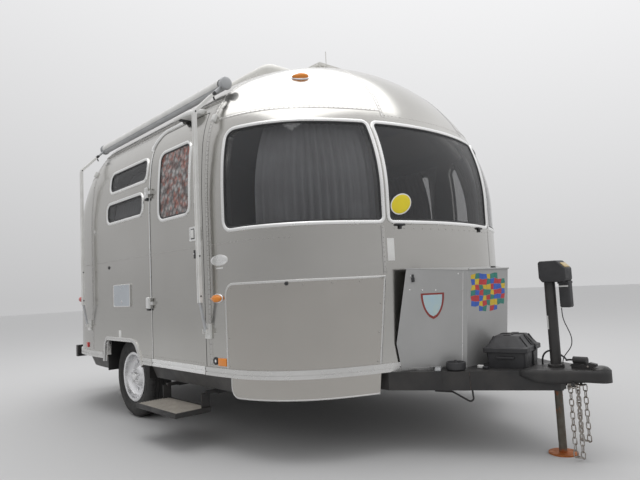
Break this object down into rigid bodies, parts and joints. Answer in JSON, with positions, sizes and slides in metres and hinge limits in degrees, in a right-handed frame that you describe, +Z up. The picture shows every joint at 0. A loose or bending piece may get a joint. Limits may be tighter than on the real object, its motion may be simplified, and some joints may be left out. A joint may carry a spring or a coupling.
{
  "type": "travel caravan",
  "caption": "Rounded riveted aluminium travel caravan on a single axle, with wraparound front windows, side door, awning, locker and jack.",
  "frame": {"origin": "centre of the underside of the jack's foot, on the ground on the centre plane", "axes": "+X forward to the coupler, +Y to the street side, +Z up"},
  "size_m": [4.877, 2.6376, 2.8229],
  "materials": {
    "shell_aluminium": "mill finish, brushed by weather",
    "rail_aluminium": "satin",
    "frame_aluminium": "bright satin",
    "dark_glass": "tinted",
    "pebbled_glass": "pebbled",
    "hinge_steel": "bright",
    "floor_board": "plywood",
    "black_steel": "satin black",
    "belly_grey": "dark sheet",
    "tyre_rubber": "worn",
    "wheel_alloy": "cast alloy",
    "black_plastic": "textured",
    "jack_steel": "rusty",
    "locker_paint": "satin grey",
    "awning_white": "off white",
    "cover_white": "moulded",
    "chain_steel": "zinc plated, worn",
    "amber_lens": "translucent",
    "cord_rubber": "matt"
  },
  "bodies": {
    "trailer": {"arch_trims": "rail_aluminium", "awning_brackets": "awning_white", "axle": "black_steel", "battery_box": "black_plastic", "belly_pan": "belly_grey", "bumper": "black_steel", "chassis": "black_steel", "coupler": "black_steel", "curbside_wall": "shell_aluminium", "door_hinges": "hinge_steel", "entry_trim": "rail_aluminium", "floor": "floor_board", "front_cap": "shell_aluminium", "jack_head": "black_plastic", "jack_tube": "black_steel", "jack_wire": "cord_rubber", "lamps": "amber_lens", "locker_body": "locker_paint", "rear_cap": "shell_aluminium", "rock_guards": "rail_aluminium", "roof_aircon": "cover_white", "roof_fittings": "cover_white", "roof_panel": "shell_aluminium", "rub_rail": "rail_aluminium", "safety_chains": "chain_steel", "streetside_wall": "shell_aluminium", "tow_cable": "cord_rubber", "tow_plug": "cord_rubber", "wall_hatches": "rail_aluminium", "wheel_wells": "black_steel", "window_frames": "frame_aluminium", "window_glass": "dark_glass"},
    "wheel_left": {"tyre_left": "tyre_rubber", "rim_left": "wheel_alloy"},
    "wheel_right": {"tyre_right": "tyre_rubber", "rim_right": "wheel_alloy"},
    "door": {"door_panel": "shell_aluminium", "door_glass": "pebbled_glass", "door_trim": "frame_aluminium", "door_hardware": "hinge_steel"},
    "locker_lid": {"locker_lid": "locker_paint"},
    "jack_leg": {"jack_leg": "jack_steel"},
    "step": {"step": "black_steel"},
    "awning": {"awning_arms": "awning_white", "awning_roller": "awning_white"}
  },
  "joints": [
    {"name": "wheel_left_spin", "type": "hinge", "parent": "trailer", "child": "wheel_left", "pos_m": [-2.934, 1.025, 0.315], "axis": [0, 1, 0], "continuous": true},
    {"name": "wheel_right_spin", "type": "hinge", "parent": "trailer", "child": "wheel_right", "pos_m": [-2.934, -1.025, 0.315], "axis": [0, 1, 0], "continuous": true},
    {"name": "door_swing", "type": "hinge", "parent": "trailer", "child": "door", "pos_m": [-2.34592, -1.236, 1.3], "axis": [0, 0, -1], "range_deg": [0, 160]},
    {"name": "locker_lid_lift", "type": "hinge", "parent": "trailer", "child": "locker_lid", "pos_m": [-0.365, 0, 1.016], "axis": [0, 1, 0], "range_deg": [0, 100]},
    {"name": "jack_leg_slide", "type": "slide", "parent": "trailer", "child": "jack_leg", "axis": [0, 0, 1], "range_m": [0, 0.3]},
    {"name": "step_slide", "type": "slide", "parent": "trailer", "child": "step", "axis": [0, 1, 0], "range_m": [0, 0.33]},
    {"name": "awning_swing", "type": "hinge", "parent": "trailer", "child": "awning", "pos_m": [-2.575, -1.24, 0.72], "axis": [1, 0, 0], "range_deg": [0, 55]}
  ]
}
